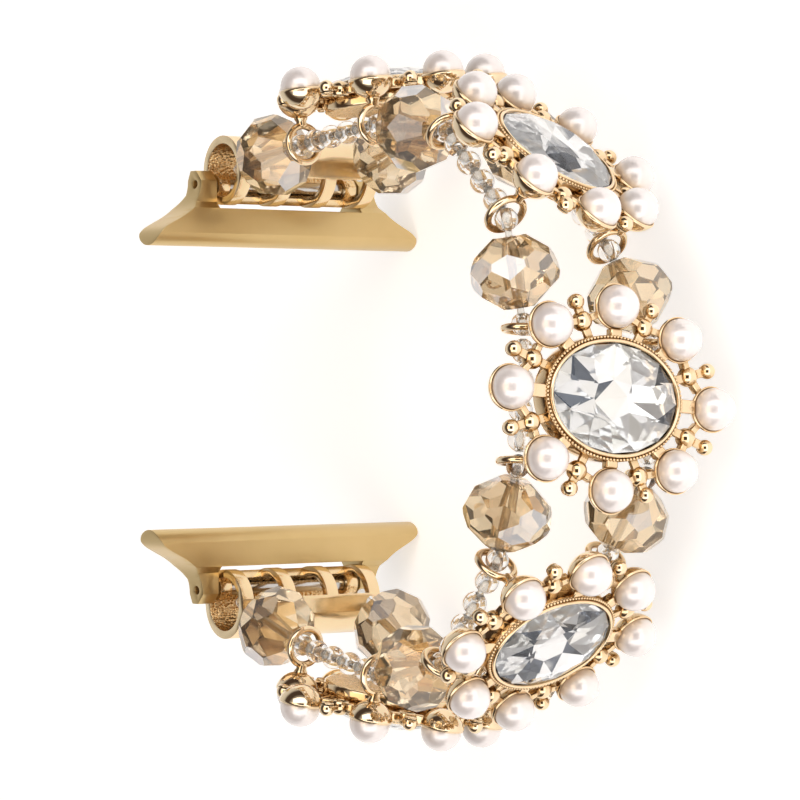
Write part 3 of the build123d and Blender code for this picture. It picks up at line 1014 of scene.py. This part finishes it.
def make_camera():
    back, right, up = view_axes()
    data = bpy.data.cameras.new("view")
    data.sensor_width = SENSOR_WIDTH
    data.lens = FOCAL_PIXELS / PICTURE * SENSOR_WIDTH
    data.clip_start = CLIP_START
    camera = bpy.data.objects.new("view", data)
    bpy.context.collection.objects.link(camera)
    across = (AIM_PIXEL[0] - PICTURE / 2) * VIEW_DISTANCE / FOCAL_PIXELS
    down = (AIM_PIXEL[1] - PICTURE / 2) * VIEW_DISTANCE / FOCAL_PIXELS
    spot = AIM_POINT + back * VIEW_DISTANCE - right * across + up * down
    turn = Matrix((right, up, back)).transposed().to_4x4()
    camera.matrix_world = Matrix.Translation(spot) @ turn
    bpy.context.scene.camera = camera


def softbox(name, spot, size, across, colour, aim):
    """A soft light that faces a point, its first side lying along a given way."""
    data = bpy.data.lights.new(name, "AREA")
    data.shape = "RECTANGLE"
    data.size, data.size_y = size
    data.color = colour
    data.energy = LIGHT_BRIGHTNESS * math.pi * size[0] * size[1]
    light = bpy.data.objects.new(name, data)
    bpy.context.collection.objects.link(light)
    light.matrix_world = frame_of(spot, across, (spot - aim).normalized(), 1.0)


def make_board(name, place, half, colour, glow=0.0):
    """A square flat board that isn't part of the jewellery, in a place's XY plane."""
    mesh = bpy.data.meshes.new(name)
    corners = [Vector((a * half, b * half, 0)) for a, b in ((-1, -1), (1, -1), (1, 1), (-1, 1))]
    mesh.from_pydata([place @ corner for corner in corners], [], [(0, 1, 2, 3)])
    board = bpy.data.objects.new(name, mesh)
    bpy.context.collection.objects.link(board)
    paint = Paint(name + "_finish", base_color=colour, roughness=0.9)
    paint.set(paint.shader, "Emission Color", colour)
    paint.set(paint.shader, "Emission Strength", glow)
    mesh.materials.append(paint.material)


def make_studio():
    """Four soft lights round the view, a dark opening in their middle and a pale floor."""
    back, right, up = view_axes()
    middle = (Vector(cad_box[0]) + Vector(cad_box[1])) / 2
    for name, side, size, colour in (
        ("softbox_up", up, LONG_LIGHT, WHITE_LIGHT),
        ("softbox_down", -up, LONG_LIGHT, WHITE_LIGHT),
        ("softbox_right", right, SHORT_LIGHT, COOL_LIGHT),
        ("softbox_left", -right, SHORT_LIGHT, WARM_LIGHT),
    ):
        spot = middle + back * LIGHT_DISTANCE + side * LIGHT_OFFSET
        softbox(name, spot, size, side, colour, middle)
    opening = frame_of(middle + back * OPENING_DISTANCE, right, back, 1.0)
    make_board("view_opening", opening, OPENING_HALF, OPENING_COLOUR)
    make_board("floor", Matrix(), FLOOR_HALF, FLOOR_COLOUR, FLOOR_GLOW)
    world = bpy.data.worlds.new("studio")
    bpy.context.scene.world = world
    room = Paint("room", world)
    facing = {0: room.node("ShaderNodeTexCoord"), 1: tuple(back)}
    toward = room.node("ShaderNodeVectorMath", {"operation": "DOT_PRODUCT"}, facing, output=1)
    room.set(room.shader, "Color", room.shades(toward * 0.5 + 0.5, ROOM_TONES))


make_camera()
make_studio()
make_flowers()
make_gaps()
make_ends()
finish_carried_nodes()

bpy.context.scene.view_settings.view_transform = "Standard"
